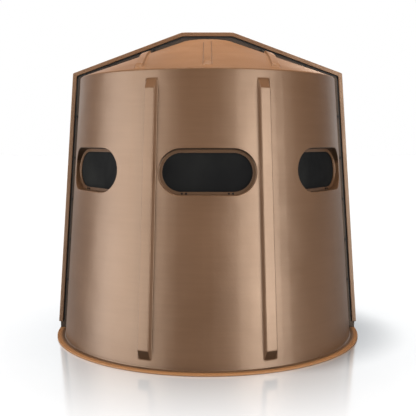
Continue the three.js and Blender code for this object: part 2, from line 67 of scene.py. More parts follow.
HALF_GAP = 1.5
PLATE = 6
FLANGE_FACE = HALF_GAP + PLATE
FLANGE_ROOT = 4
FRONT_REACH = 28
JOGGLE = 38
RIM_REACH = 65
RIM_FRONT = 14
WEB_RADIUS = 1024
FLANGE_FOOT = (48, 51)

WALL_RIB_ENDS = (57, 1660)
WALL_RIB_SLOPE = 57
WALL_RIB_HEIGHT = 30
FRONT_RIB = (19.3, 19.8, 23.7, 24.5)
REAR_RIB = (27.3, 27.8, 32.3, 32.6)
ROOF_RIB = {"half_base": 28, "half_top": 22, "height": 18, "slope": 25}
ROOF_RIBS = ((0, 245, 785), (400, 60, 700), (-400, 60, 700))

WINDOW_ANGLES = (0, 55, -55, 125, -125, 180)
WINDOW_HEIGHT = 1131.5
WINDOW_DEPTH = 78
WINDOW_HALF_WIDTH = 279.5
WINDOW_HALF_HEIGHT = 131.5
WINDOW_STRAIGHT = WINDOW_HALF_WIDTH - WINDOW_HALF_HEIGHT
LEDGE = 20
LEDGE_THICKNESS = 5
WINDOW_ROWS = (975, 1288)
END_COLUMN = 18.85  # degrees either side of a window that faces the front or the rear
SIDE_COLUMN = 21

COVER = {"half_width": 267.5, "bottom": -116, "top": 118, "inner": -9, "outer": -1}
FLAP_HINGE = {"u": 134, "v": -124, "w": -9, "knuckle": 5, "half_knuckle": 12, "half_leaf": 24}
FLAP_BOLT_V = -121.5
BUTTON_V = 125
BUTTON_TOP = -9.8

DOOR = {"bottom": 45, "top": 1660, "half_angle": 22.5, "low_fillet": 40, "high_fillet": 70}
DOOR_CLEARANCE = 2
DOOR_ROWS = (30, 1684)
DOOR_COLUMN = 24.4
HINGE_HEIGHTS = {"lower": 250, "middle": 800, "upper": 1400}
HINGE_AXIS = 6.3
LATCH = {"height": 950, "inset": 46, "cam_top": -21, "cam_thickness": 4}

TAPER = math.atan2(FOOT_RADIUS - SHOULDER[0], SHOULDER[1])
SLOPE = math.atan2(CROWN[1] - SHOULDER[1], SHOULDER[0] - CROWN[0])
MID_RADIUS = 910
DEGREE = math.radians(1) * MID_RADIUS

WALL_WAY = Vector((math.cos(TAPER), math.sin(TAPER)))
ROOF_WAY = Vector((math.sin(SLOPE), math.cos(SLOPE)))
EAVE_WAY = (WALL_WAY + ROOF_WAY) / (1 + WALL_WAY.dot(ROOF_WAY))

ALONG_X = Matrix.Rotation(math.pi / 2, 4, "Y")
ALONG_Y = Matrix.Rotation(-math.pi / 2, 4, "X")
QUARTER_TURN = Matrix.Rotation(math.pi / 2, 4, "Z")


# ---- Lines and surfaces ----


def wall_radius(z):
    return FOOT_RADIUS - z * math.tan(TAPER)


def wall_point(angle, z, lift=0.0):
    """A point over the wall's outside, at an angle in degrees from the front, towards +X."""
    radius = wall_radius(z) + lift * math.cos(TAPER)
    a = math.radians(angle)
    return Vector((radius * math.sin(a), -radius * math.cos(a), z + lift * math.sin(TAPER)))


def roof_slope(radius):
    share = (radius - CROWN[0] + CROWN_BLEND) / (2 * CROWN_BLEND)
    return math.tan(SLOPE) * min(1.0, max(0.0, share))


def roof_way(radius):
    """Direction out of the roof, outwards and up."""
    return Vector((roof_slope(radius), 1)).normalized()


def roof_height(x, y, depth=0.0):
    """Height of the roof over a point of the ground, or of the surface that deep inside it."""
    radius = math.hypot(x, y)
    slope = roof_slope(radius)
    into = max(0.0, radius - CROWN[0] + CROWN_BLEND)
    if radius > CROWN[0] + CROWN_BLEND:
        drop = slope * (radius - CROWN[0])
    else:
        drop = slope * into / 2
    return CROWN[1] - drop - depth * math.hypot(1, slope)


def clamp(value, limit):
    return max(-limit, min(limit, value))


def mix(a, b, share):
    return a + (b - a) * share


def rounded(corners, radii, steps=4):
    """A line through corners, each rounded to its radius. A radius of 0 keeps the corner."""
    corners = [Vector(corner) for corner in corners]
    points = []
    for k, (corner, radius) in enumerate(zip(corners, radii)):
        if not radius:
            points.append(corner)
            continue
        back = (corners[k - 1] - corner).normalized()
        on = (corners[(k + 1) % len(corners)] - corner).normalized()
        half = back.angle(on) / 2
        centre = corner + (back + on).normalized() * radius / math.sin(half)
        start = corner + back * radius / math.tan(half) - centre
        end = corner + on * radius / math.tan(half) - centre
        turn = math.pi - 2 * half
        for step in range(steps + 1):
            share = step / steps
            arm = start * math.sin((1 - share) * turn) + end * math.sin(share * turn)
            points.append(centre + arm / math.sin(turn))
    return points


def height_at(line, position):
    """Height of a line of (position, height) points at a position."""
    if position <= line[0][0]:
        return line[0][1]
    for (x0, h0), (x1, h1) in zip(line, line[1:]):
        if position <= x1:
            return mix(h0, h1, (position - x0) / max(x1 - x0, 1e-9))
    return line[-1][1]


def rib_line(foot, top, end_top, end_foot, height, radius):
    """Section of a rib, from flat ground to flat ground."""
    ground = [(foot - 60, 0), (foot, 0), (end_foot, 0), (end_foot + 60, 0)]
    corners = [*ground[:2], (top, height), (end_top, height), *ground[2:]]
    return rounded(corners, [0, *[radius] * 4, 0])


def placement(angle, height, out):
    """Axes on the wall: x round it, y up its slope, z out of it."""
    a = math.radians(angle)
    across = Vector((math.cos(a), math.sin(a), 0))
    outwards = Vector(
        (math.sin(a) * math.cos(TAPER), -math.cos(a) * math.cos(TAPER), math.sin(TAPER))
    )
    axes = Matrix((across, outwards.cross(across), outwards)).transposed().to_4x4()
    axes.translation = wall_point(angle, height) + outwards * out
    return axes


def moved(axes, x, y, z):
    return axes @ Matrix.Translation((x, y, z))


def wall_level(axes, u, v, lift):
    """How far the wall's surface is out of a window's plane, over a point of that plane."""
    outwards = axes.col[2].xyz
    level = WINDOW_DEPTH
    for _ in range(6):
        p = axes @ Vector((u, v, level))
        reach = math.hypot(p.x, p.y)
        miss = (reach - wall_radius(p.z)) * math.cos(TAPER) - lift
        along = (p.x * outwards.x + p.y * outwards.y) / reach + math.tan(TAPER) * outwards.z
        level -= miss / (along * math.cos(TAPER))
    return level


# ---- Meshes ----


class Shape:
    """Points in millimetres and the faces between them, gathered before they become a mesh."""

    def __init__(self):
        self.points = []
        self.faces = []

    def add(self, points):
        first = len(self.points)
        self.points.extend(Vector(p) for p in points)
        return list(range(first, len(self.points)))

    def band(self, one, other, closed=True):
        for k in range(len(one) if closed else len(one) - 1):
            n = (k + 1) % len(one)
            self.faces.append((one[k], one[n], other[n], other[k]))

    def bands(self, rows, closed=True):
        for one, other in zip(rows, rows[1:]):
            self.band(one, other, closed)

    def loft(self, loops):
        """Joins loops of the same number of points, and closes the two ends."""
        rows = [self.add(loop) for loop in loops]
        self.bands(rows)
        self.faces += [tuple(reversed(rows[0])), tuple(rows[-1])]


def shown(name, shape, look, nodes, mirror=False):
    """Makes a piece of a shape, which stands for some CAD nodes and moves with their body."""
    mesh = bpy.data.meshes.new(name)
    side = -1 if mirror else 1
    points = [(p.x * MM, side * p.y * MM, p.z * MM) for p in shape.points]
    mesh.from_pydata(points, [], shape.faces)
    work = bmesh.new()
    work.from_mesh(mesh)
    bmesh.ops.remove_doubles(work, verts=work.verts, dist=0.02 * MM)
    bmesh.ops.dissolve_degenerate(work, edges=work.edges, dist=0.005 * MM)
    bmesh.ops.recalc_face_normals(work, faces=work.faces)
    for face in work.faces:
        face.smooth = True
    work.to_mesh(mesh)
    work.free()
    mesh.materials.append(LOOKS[look])
    piece = bpy.data.objects.new(name, mesh)
    bpy.context.scene.collection.objects.link(piece)
    normals = piece.modifiers.new("even shading", "WEIGHTED_NORMAL")
    normals.keep_sharp = True
    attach(piece, BODY_OF[nodes[0]])
    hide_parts(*nodes)


def quarter(steps=3):
    """Shares of a rounded edge: how far in, and how far along."""
    turns = [math.pi / 2 * step / steps for step in range(steps + 1)]
    return [(1 - math.sin(a), 1 - math.cos(a)) for a in turns]


def rounded_sides(low, high, bevel):
    """Insets and levels up the side of a plate with rounded edges."""
    sections = [(inset * bevel, low + rise * bevel) for inset, rise in quarter()]
    return sections + [(inset * bevel, high - rise * bevel) for inset, rise in quarter()[::-1]]


def stacked(shape, outline, sections, axes):
    """A solid of levels, each of them the outline at its own inset."""
    shape.loft(
        [axes @ Vector((x, y, level)) for x, y in outline(inset)] for inset, level in sections
    )


def plate(shape, outline, low, high, bevel, axes):
    """A plate between two levels with rounded edges."""
    stacked(shape, outline, rounded_sides(low, high, bevel), axes)


def turned(shape, profile, axes, sides=24):
    """A solid turned about the placement's own z, from a profile of radius and height."""
    turns = [2 * math.pi * k / sides for k in range(sides)]
    shape.loft(
        [axes @ Vector((radius * math.cos(a), radius * math.sin(a), height)) for a in turns]
        for radius, height in profile
    )


def barrel(shape, radius, low, high, bevel, axes, sides=24):
    """A round bar with bevelled ends."""
    bend = [(1, 0), (0.3, 0.3), (0, 1)]
    profile = [(radius - bevel * inset, low + bevel * rise) for inset, rise in bend]
    profile += [(radius - bevel * inset, high - bevel * rise) for inset, rise in bend[::-1]]
    turned(shape, profile, axes, sides)


def hex_head(shape, across, low, high, axes):
    """A hexagon head with the usual round chamfer on its far end."""
    sides = 48
    chamfer = math.radians(30)
    flat = across / 2
    rim_radius = flat * 0.96
    rise = 1 if high > low else -1
    loops = [[], [], [], []]
    for k in range(sides):
        a = 2 * math.pi * k / sides
        corner = flat / math.cos((a % (math.pi / 3)) - math.pi / 6)
        direction = Vector((math.cos(a), math.sin(a), 0))
        edge = high - rise * (corner - rim_radius) * math.tan(chamfer)
        profile = ((corner, low), (corner, edge), (rim_radius, high), (flat / 2, high))
        for loop, (reach, level) in zip(loops, profile):
            loop.append(axes @ (direction * reach + Vector((0, 0, level))))
    shape.loft(loops)


def stadium(half_width, half_height, centre=0.0, steps=20):
    """An outline with round ends, as a function of its inset."""

    def loop(inset):
        straight = half_width - half_height
        radius = half_height - inset
        points = []
        for side in (1, -1):
            for step in range(steps + 1):
                a = math.pi * (step / steps - 0.5)
                x, y = straight + radius * math.cos(a), radius * math.sin(a)
                points.append((side * x, side * y + centre))
        return points

    return loop


def rectangle(low, high, radius, steps=3):
    """A rectangle with rounded corners, as a function of its inset."""

    def loop(inset):
        x0, y0, x1, y1 = low[0] + inset, low[1] + inset, high[0] - inset, high[1] - inset
        corners = [(x0, y0), (x1, y0), (x1, y1), (x0, y1)]
        return rounded(corners, [max(radius - inset, 0.2)] * 4, steps)

    return loop


# ---- Materials ----


class Nodes:
    """A short way to write the node tree of a material or a world."""

    def __init__(self, owner):
        owner.use_nodes = True
        self.owner = owner
        self.tree = owner.node_tree
        self.shader = self.tree.nodes.get("Principled BSDF")
        coordinates = self.node("TexCoord").outputs
        self.place = coordinates["Object"]
        self.way = coordinates["Generated"]

    def wire(self, value, socket):
        if hasattr(value, "is_output"):
            self.tree.links.new(value, socket)
        else:
            socket.default_value = value

    def node(self, kind, inputs=(), **values):
        """Makes a node with its settings, and wires its inputs by name or number."""
        made = self.tree.nodes.new("ShaderNode" + kind)
        for key, value in values.items():
            setattr(made, key, value)
        for key, value in dict(inputs).items():
            self.wire(value, made.inputs[key])
        return made

    def split(self, vector):
        return self.node("SeparateXYZ", {0: vector}).outputs

    def mixed(self, share, one, other):
        """A mix of two shader nodes."""
        return self.node("MixShader", {0: share, 1: one.outputs[0], 2: other.outputs[0]})

    def for_camera(self, others, camera):
        """One shader where the camera looks straight at it, another for every other ray."""
        return self.mixed(self.node("LightPath").outputs["Is Camera Ray"], others, camera)

    def stretched(self, scale):
        return self.node("Mapping", {"Vector": self.place, "Scale": scale}).outputs["Vector"]

    def noise(self, scale, detail=2.0, roughness=0.5, at=None):
        at = self.place if at is None else at
        inputs = {"Vector": at, "Scale": scale, "Detail": detail, "Roughness": roughness}
        return self.node("TexNoise", inputs).outputs["Fac"]

    def cells(self, scale, output="Distance"):
        return self.node("TexVoronoi", {"Vector": self.place, "Scale": scale}).outputs[output]

    def ramp(self, value, low, high, start=0.0, end=1.0):
        names = ("Value", "From Min", "From Max", "To Min", "To Max")
        return self.node("MapRange", zip(names, (value, low, high, start, end))).outputs["Result"]

    def maths(self, operation, one, other):
        return self.node("Math", {0: one, 1: other}, operation=operation).outputs[0]

    def times(self, one, other):
        return self.maths("MULTIPLY", one, other)

    def blend(self, share, one, other):
        one, other = (c if hasattr(c, "is_output") else (*c, 1) for c in (one, other))
        return self.node("Mix", {0: share, 6: one, 7: other}, data_type="RGBA").outputs[2]

    def edges(self, low, high):
        """1 on worn outer edges, 0 elsewhere."""
        return self.ramp(self.node("NewGeometry").outputs["Pointiness"], low, high)

    def bump(self, height, strength, distance, painted_underside_shade=None):
        inputs = {"Height": height, "Strength": strength, "Distance": distance}
        if painted_underside_shade is not None:
            inputs["Normal"] = painted_underside_shade
        return self.node("Bump", inputs).outputs["Normal"]

    def finish(self, colour, roughness, normal, metal=0.0, specular=0.5, tint=None):
        names = ("Base Color", "Roughness", "Normal", "Metallic", "Specular IOR Level")
        for name, value in zip(names, (colour, roughness, normal, metal, specular)):
            self.wire(value, self.shader.inputs[name])
        if tint:
            self.wire((*tint, 1), self.shader.inputs["Specular Tint"])
        return self.owner


def moulded_brown(n):
    """The plastic's own colour: cloudy, with streaks, pale specks and rubbed edges."""
    cloud = n.ramp(n.noise(2.2, 3), 0.35, 0.65)
    colour = n.blend(cloud, (0.056, 0.0262, 0.0120), (0.065, 0.0308, 0.0143))
    streaks = n.ramp(n.noise(1.0, 4, 0.6, n.stretched((3, 3, 45))), 0.38, 0.66)
    colour = n.blend(n.times(streaks, 0.16), colour, (0.110, 0.058, 0.031))
    specks = n.ramp(n.noise(420, 1), 0.62, 0.78)
    colour = n.blend(n.times(specks, 0.15), colour, (0.11, 0.065, 0.038))
    worn = n.times(n.edges(0.52, 0.62), n.ramp(n.noise(14, 3), 0.35, 0.6))
    return n.blend(n.times(worn, 0.45), colour, (0.18, 0.115, 0.07))


def between(n, value, low, high, soft):
    """1 between two values, and 0 outside them."""
    return n.times(n.ramp(value, low - soft, low), n.ramp(value, high + soft, high))


def brown_shell():
    """Brown polyethylene: satin, with a pebble grain. It has painted shade low down and under its
    ledges, is dark between the flanges, and has painted bounce light from the floor round the foot."""
    n = Nodes(bpy.data.materials.new("brown_polyethylene"))
    x, y, z = n.split(n.place)
    # Painted shade: the colour darkens towards the ground over the lowest 70 mm or so, with a
    # little noise.
    low_shade_height = n.maths("ADD", z, n.times(n.noise(9), 0.02))
    colour = n.blend(n.ramp(low_shade_height, 0.07, 0.01, 0, 0.35), moulded_brown(n), (0.030, 0.018, 0.010))
    # Painted bounce light: the foot flange's top, outside the wall, is painted lighter and warmer
    # as if lit from the floor. It is also made rougher.
    outside = n.ramp(n.maths("ADD", n.times(x, x), n.times(y, y)), 0.99**2, 1.005**2)
    foot = BASE_FLANGE["thickness"] * MM
    painted_floor_bounce = n.times(outside, n.ramp(z, foot + 0.0015, foot + 0.0005))
    colour = n.blend(painted_floor_bounce, colour, (0.170, 0.074, 0.026))
    joint = between(n, y, -0.0074, -0.002, 0.001)
    colour = n.blend(joint, colour, (0.020, 0.0175, 0.0155))
    # Painted shade: faces that look down, like the tops of the window pockets and the undersides of
    # ledges, are painted darker.
    facing = n.split(n.node("NewGeometry").outputs["True Normal"])
    painted_underside_shade = n.times(n.ramp(facing[2], -0.2, -0.45), 0.8)
    colour = n.blend(painted_underside_shade, colour, (0.010, 0.0065, 0.004))
    # Specular is lowered between the flanges and on the painted underside shade.
    dull = n.times(n.maths("MAXIMUM", joint, painted_underside_shade), 0.85)
    roughness = n.ramp(n.noise(3.5, 4), 0.3, 0.7, 0.34, 0.41)
    roughness = n.maths("ADD", roughness, n.times(painted_floor_bounce, 0.3))
    waves = n.bump(n.noise(5.5, 1), 0.55, 0.006)
    peel = n.bump(n.noise(60, 2), 0.25, 0.0008, waves)
    grain = n.bump(n.cells(520), 0.22, 0.0006, peel)
    specular = n.maths("SUBTRACT", 1.0, dull)
    return n.finish(colour, roughness, grain, specular=specular, tint=(1.0, 0.735, 0.54))


def black_plastic():
    """Black moulded plastic with a fine leathery grain, greyed by dust and handling."""
    n = Nodes(bpy.data.materials.new("black_plastic"))
    colour = n.blend(n.ramp(n.noise(4, 4), 0.4, 0.7), (0.005, 0.005, 0.005), (0.009, 0.009, 0.0085))
    worn = n.times(n.edges(0.53, 0.66), n.noise(40, 3))
    colour = n.blend(worn, colour, (0.07, 0.068, 0.064))
    roughness = n.ramp(n.noise(9, 5), 0.3, 0.7, 0.5, 0.68)
    waves = n.bump(n.noise(6, 1), 0.3, 0.003)
    return n.finish(colour, roughness, n.bump(n.cells(650), 0.3, 0.0005, waves), specular=0.05)


def black_rubber():
    """Closed-cell foam rubber, matt, with open cells at its cut faces."""
    n = Nodes(bpy.data.materials.new("foam_rubber"))
    pores = n.ramp(n.cells(900), 0.1, 0.5)
    colour = n.blend(pores, (0.008, 0.008, 0.008), (0.026, 0.025, 0.024))
    return n.finish(colour, 0.88, n.bump(pores, 0.6, 0.0006), specular=0.25)


def black_steel():
    """Steel with a black coating that has rubbed thin along its edges."""
    n = Nodes(bpy.data.materials.new("black_coated_steel"))
    bare = n.times(n.edges(0.54, 0.66), n.ramp(n.noise(120, 4), 0.42, 0.62))
    bare = n.times(bare, 0.35)
    colour = n.blend(n.noise(30, 3), (0.004, 0.004, 0.0043), (0.009, 0.0088, 0.0085))
    colour = n.blend(bare, colour, (0.16, 0.155, 0.145))
    roughness = n.ramp(n.noise(80, 4), 0.3, 0.7, 0.42, 0.56)
    return n.finish(colour, roughness, n.bump(n.noise(900, 2), 0.2, 0.0004), bare, specular=0.12)


def zinc_steel():
    """Zinc-plated steel: patchy crystals, fine brushing and dull spots."""
    n = Nodes(bpy.data.materials.new("zinc_plated_steel"))
    tone = n.node("RGBToBW", {0: n.cells(160, "Color")})
    colour = n.blend(n.ramp(tone.outputs[0], 0, 1), (0.42, 0.42, 0.41), (0.62, 0.62, 0.60))
    dull = n.ramp(n.noise(35, 5), 0.5, 0.72)
    colour = n.blend(n.times(dull, 0.5), colour, (0.30, 0.285, 0.26))
    roughness = n.ramp(dull, 0, 1, 0.28, 0.55)
    brushed = n.noise(1.0, 3, 0.6, n.stretched((900, 900, 40)))
    return n.finish(colour, roughness, n.bump(brushed, 0.15, 0.0003), metal=0.95)


LOOKS = {
    maker.__name__: maker()
    for maker in (brown_shell, black_plastic, black_rubber, black_steel, zinc_steel)
}


# ---- Shells ----


def rib_lines(angles, inset):
    """Sections across and along the wall ribs, the first by angle, the second by height."""
    steps = [a * DEGREE + way * inset for a, way in zip(angles, (1, 1, -1, -1))]
    across = rib_line(*steps, WALL_RIB_HEIGHT, 5)
    foot, top = WALL_RIB_ENDS
    slope = WALL_RIB_SLOPE
    along = rib_line(foot, foot + slope, top - slope, top, WALL_RIB_HEIGHT, 22)
    return [(x / DEGREE, h) for x, h in across], [(z, h / WALL_RIB_HEIGHT) for z, h in along]


def roof_rib_lines(rib, inset):
    """Sections across and along a roof rib."""
    centre, start, end = rib
    base, top = ROOF_RIB["half_base"] - inset, ROOF_RIB["half_top"] - inset
    height, slope = ROOF_RIB["height"], ROOF_RIB["slope"]
    across = rib_line(centre - base, centre - top, centre + top, centre + base, height, 4)
    along = rib_line(start, start + slope, end - slope, end, height, 12)
    return across, [(y, h / height) for y, h in along]


def eave():
    """Points of the rounded shoulder, and their centre."""
    wall = (wall_radius(1500), 1500)
    points = rounded([wall, SHOULDER, CROWN], [0, SHOULDER_FILLET, 0], 6)[1:-1]
    back = (Vector(wall) - Vector(SHOULDER)).normalized()
    on = (Vector(CROWN) - Vector(SHOULDER)).normalized()
    reach = SHOULDER_FILLET / math.sin(back.angle(on) / 2)
    return points, Vector(SHOULDER) + (back + on).normalized() * reach


EAVE, EAVE_CENTRE = eave()
ROOF_START = EAVE[-1].x


def filled(wanted, plain, gap):
    """The wanted places and those plain ones that are clear of them, in order."""
    return sorted(wanted + [p for p in plain if all(abs(p - w) > gap for w in wanted)])


def columns_of(ribs, holes):
    """Angles of the half shell's upright lines, from the middle to near the seam."""
    across = rib_lines(ribs, 0)[0][1:-1]
    ribs_at = [x for rib in ROOF_RIBS[:2] for x, _ in roof_rib_lines(rib, 0)[0][1:-1] if x > 0]
    wanted = [angle for angle, _ in across] + holes
    wanted += [math.degrees(math.asin(x / ROOF_START)) for x in [CROWN[0], *ribs_at]]
    return filled(wanted, [*range(2, 88, 2), 21, 23, 87.5], 0.5)


def wall_rows():
    """Heights of the wall's level lines."""
    along = rib_lines(FRONT_RIB, 0)[1][1:-1]
    wanted = [z for z, _ in along] + [*WINDOW_ROWS, *DOOR_ROWS, *FLANGE_FOOT, 48, 60, 1640, 1672]
    return filled(wanted, range(24, 1680, 24), 9)


def roof_shares():
    """How far along the roof's lines its points are, closer together at the ends of the ribs."""
    shares, share = [], 0.0
    while share < 1.0:
        dense = share < 0.13 or 0.66 < share < 0.74 or 0.86 < share < 0.96
        share += 0.009 if dense else 0.028
        shares.append(min(share, 1.0))
    return shares


def base_rows():
    """The foot flange and its root, outside and inside the skin."""
    radius, thickness, root = BASE_FLANGE.values()
    inside = wall_radius(0) - SKIN / math.cos(TAPER)
    corners = [(inside + SKIN, 0), (radius, 0), (radius, thickness)]
    corners += [(wall_radius(z), z) for z in (thickness, 200)]
    outer = rounded(corners, [0, 1.5, 2.5, root, 0], 3)[:-1]
    top = outer[-1].y
    heights = [top * k / (len(outer) - 1) for k in range(len(outer))]
    return outer, [Vector((wall_radius(z) - SKIN / math.cos(TAPER), z)) for z in heights]


def grid_rows(depth, edge, angles, ribs):
    """All points of a half shell's surface at a depth: rows of columns, each row with its kind.
    A column is a side and an angle, or a side and None where the surface ends, at y = -edge."""

    def ring(radius, angle):
        return math.degrees(math.acos(edge / radius)) if angle is None else angle

    across, along = rib_lines(ribs, 5 if depth else 0)
    roof_lines = [roof_rib_lines(rib, 4 if depth else 0) for rib in ROOF_RIBS]
    outer_base, inner_base = base_rows()
    rows = []

    def around(radius, z):
        row = []
        for side, angle in angles:
            a = math.radians(side * ring(radius, angle))
            row.append(Vector((radius * math.sin(a), -radius * math.cos(a), z)))
        return row

    for radius, z in inner_base if depth else outer_base:
        rows.append(("base", around(radius, z)))
    for z in wall_rows():
        row = []
        for side, angle in angles:
            own = ring(wall_radius(z) - depth, angle)
            lift = height_at(across, own) * height_at(along, z) - depth
            row.append(wall_point(side * own, z, lift))
        rows.append(("wall", row))
    for point in EAVE:
        inward = (point - EAVE_CENTRE) * (1 - depth / SHOULDER_FILLET) + EAVE_CENTRE
        rows.append(("eave", around(inward.x, inward.y)))
    start = ROOF_START - depth * math.sin(SLOPE)
    for share in roof_shares():
        row = []
        for side, angle in angles:
            a = math.radians(ring(start, angle))
            x = side * start * math.sin(a)
            y = mix(-start * math.cos(a), -edge, share)
            lift = sum(height_at(one, x) * height_at(other, -y) for one, other in roof_lines)
            row.append(Vector((x, y, roof_height(x, y, depth) + lift)))
        rows.append(("roof", row))
    return rows


def hole_loop(i0, i1, j0, j1):
    """Grid places round a hole."""
    return (
        [(i0, j) for j in range(j0, j1)]
        + [(i, j1) for i in range(i0, i1)]
        + [(i1, j) for j in range(j1, j0, -1)]
        + [(i, j0) for i in range(i1, i0, -1)]
    )


def window_pocket(shape, axes, outer_loop, inner_loop):
    """Sinks a window: rounded lip, pocket wall, ledge with a rounded opening, and its back."""
    lip, root, edge = 5.0, 4.0, 1.5
    home = axes.inverted()

    def spokes(loop):
        found = []
        for index in loop:
            flat = home @ shape.points[index]
            middle = Vector((clamp(flat.x, WINDOW_STRAIGHT), 0))
            arm = Vector((flat.x, flat.y)) - middle
            found.append((middle, arm.normalized(), arm.length))
        return found

    def ring(lines, radius, level):
        points = []
        for middle, arm, reach in lines:
            r = radius(reach) if callable(radius) else radius
            u, v = middle + arm * r
            w = level(u, v) if callable(level) else level
            points.append(axes @ Vector((u, v, w)))
        return shape.add(points)

    def skin(u, v):
        return wall_level(axes, u, v, 0)

    def back(u, v):
        return wall_level(axes, u, v, -SKIN)

    outer, inner = spokes(outer_loop), spokes(inner_loop)
    half = WINDOW_HALF_HEIGHT
    rows = [outer_loop]
    for share in (0.3, 0.65, 1):
        rows.append(ring(outer, lambda reach, s=share: mix(reach, half + lip, s), skin))
    for inset, rise in quarter(4)[1:]:
        drop = lip * rise
        rows.append(ring(outer, half + lip * inset, lambda u, v, d=drop: skin(u, v) - d))
    floor = LEDGE_THICKNESS
    for share in (0.33, 0.67, 1):
        wall = lambda u, v, s=share: mix(skin(u, v) - lip, floor + root, s)
        rows.append(ring(outer, half, wall))
    for inset, rise in quarter()[1:]:
        rows.append(ring(outer, half - root * rise, floor + root * inset))
    opening = half - LEDGE
    rows.append(ring(outer, opening + 8, floor))
    for inset, level in rounded_sides(0, floor, edge)[::-1]:
        rows.append(ring(outer, opening + inset, level))
    behind = half + SKIN
    backs = [
        (behind - edge, 0),
        (behind, edge),
        (behind, lambda u, v: mix(0, back(u, v), 0.5)),
        (behind, lambda u, v: back(u, v) - 3),
        (behind + 3, back),
        (lambda reach: mix(reach, behind, 0.5), back),
    ]
    rows += [ring(inner, radius, level) for radius, level in backs]
    shape.bands(rows + [inner_loop])


def door_spoke(angle, z):
    """Where the door's outline is, seen from a point near it: middle, direction and radius."""
    position = Vector((angle * DEGREE, z))
    low, high = DOOR["bottom"] + DOOR["low_fillet"], DOOR["top"] - DOOR["high_fillet"]
    radius = DOOR["low_fillet"] if z < (low + high) / 2 else DOOR["high_fillet"]
    half = DOOR["half_angle"] * DEGREE
    middle = Vector((clamp(position.x, half - radius), min(max(z, low), high)))
    return middle, (position - middle).normalized(), radius


def door_ring(places, margin, lift):
    """Points round the door's outline, that far outside it, and lifted off the wall's surface."""
    points = []
    for angle, z in places:
        middle, arm, radius = door_spoke(angle, z)
        p = middle + arm * (radius + margin)
        points.append(wall_point(p.x / DEGREE, p.y, lift))
    return points


def door_edge(shape, places, margin, outer_loop, inner_loop):
    """Closes the skin along the door's outline with a rounded edge."""
    side = 1 if margin > 0 else -1
    rows = [outer_loop]
    for inset, lift in rounded_sides(-SKIN, 0, 1.8)[::-1]:
        rows.append(shape.add(door_ring(places, margin + side * inset, lift)))
    shape.bands(rows + [inner_loop])


def seam_loop(kinds, last):
    """Grid places along the seam, from the right foot over the roof to the left foot."""
    end = max(i for i, kind in enumerate(kinds) if kind != "roof")
    top = len(kinds) - 1
    return (
        [(i, last) for i in range(end + 1)]
        + [(top, j) for j in range(last - 1, 0, -1)]
        + [(i, 0) for i in range(end, -1, -1)]
    )


def seam_directions(kinds, loop, points):
    """Outward directions along the seam, in X and Z."""
    found = []
    for (i, _), p in zip(loop, points):
        ways = {"roof": roof_way(abs(p.x)), "eave": EAVE_WAY}
        way = ways.get(kinds[i], WALL_WAY)
        found.append(Vector((way.x if p.x > 0 else -way.x, 0, way.y)))
    return found


def seam_flange(shape, kinds, loop, outer, inner, section, web):
    """Sweeps a flange section of (reach, y) points along the seam, between the skin's two faces.
    Under it a flat web goes down to the foot flange. Points from `web` on are its edge."""
    points = [shape.points[index] for index in outer]
    ways = seam_directions(kinds, loop, points)
    rows = [outer]
    for reach, y in section:
        row = []
        for (i, _), p, way in zip(loop, points, ways):
            low, high = FLANGE_FOOT
            share = 0.0 if kinds[i] == "base" else max(0, clamp((p.z - low) / (high - low), 1))
            room = 0.0
            if p.z > BASE_FLANGE["thickness"] - 0.01:
                room = max(0.0, WEB_RADIUS - abs(p.x))
            level = Vector((math.copysign(room * min(1, reach / web), p.x), 0, 0))
            q = p + level.lerp(way * reach, share)
            q.y = mix(min(y, -HALF_GAP), y, share)
            row.append(q)
        rows.append(shape.add(row))
    rows.append(inner)
    shape.bands(rows, closed=False)
    for end in (0, -1):
        shape.faces.append(tuple(row[end] for row in rows))


def front_section():
    face, back = -FLANGE_FACE, -HALF_GAP
    corners = [(0, -60), (0, face), (FRONT_REACH, face), (FRONT_REACH, back), (-SKIN, back)]
    return rounded(corners, [0, FLANGE_ROOT, 2, 1.5, 0], 3)[2:-1]


def rear_section():
    """The rear flange steps forward round the front one and ends in the broad rim."""
    face, back = -FLANGE_FACE, -HALF_GAP
    wall, rim = JOGGLE + PLATE, RIM_FRONT - PLATE
    corners = [(0, -60), (0, face), (wall, face), (wall, rim), (RIM_REACH, rim)]
    corners += [(RIM_REACH, RIM_FRONT), (JOGGLE, RIM_FRONT), (JOGGLE, back), (-SKIN, back)]
    return rounded(corners, [0, FLANGE_ROOT, 5, 4, 2.5, 2.5, 3, 2, 0], 3)[2:-1]


def nearest(values, wanted):
    return min(range(len(values)), key=lambda k: abs(values[k] - wanted))


def skin_faces(shape, grids, holes):
    """The faces of both sides of a skin, without those inside the holes' rows and columns."""
    for grid in grids:
        for i, (one, other) in enumerate(zip(grid, grid[1:])):
            for j in range(len(one) - 1):
                if not any(i0 <= i < i1 and j0 <= j < j1 for i0, i1, j0, j1 in holes):
                    shape.faces.append((one[j], one[j + 1], other[j + 1], other[j]))


def ends_at(grids, loop):
    """The points of both sides of a skin along a loop of grid places."""
    return [[grid[i][j] for i, j in loop] for grid in grids]


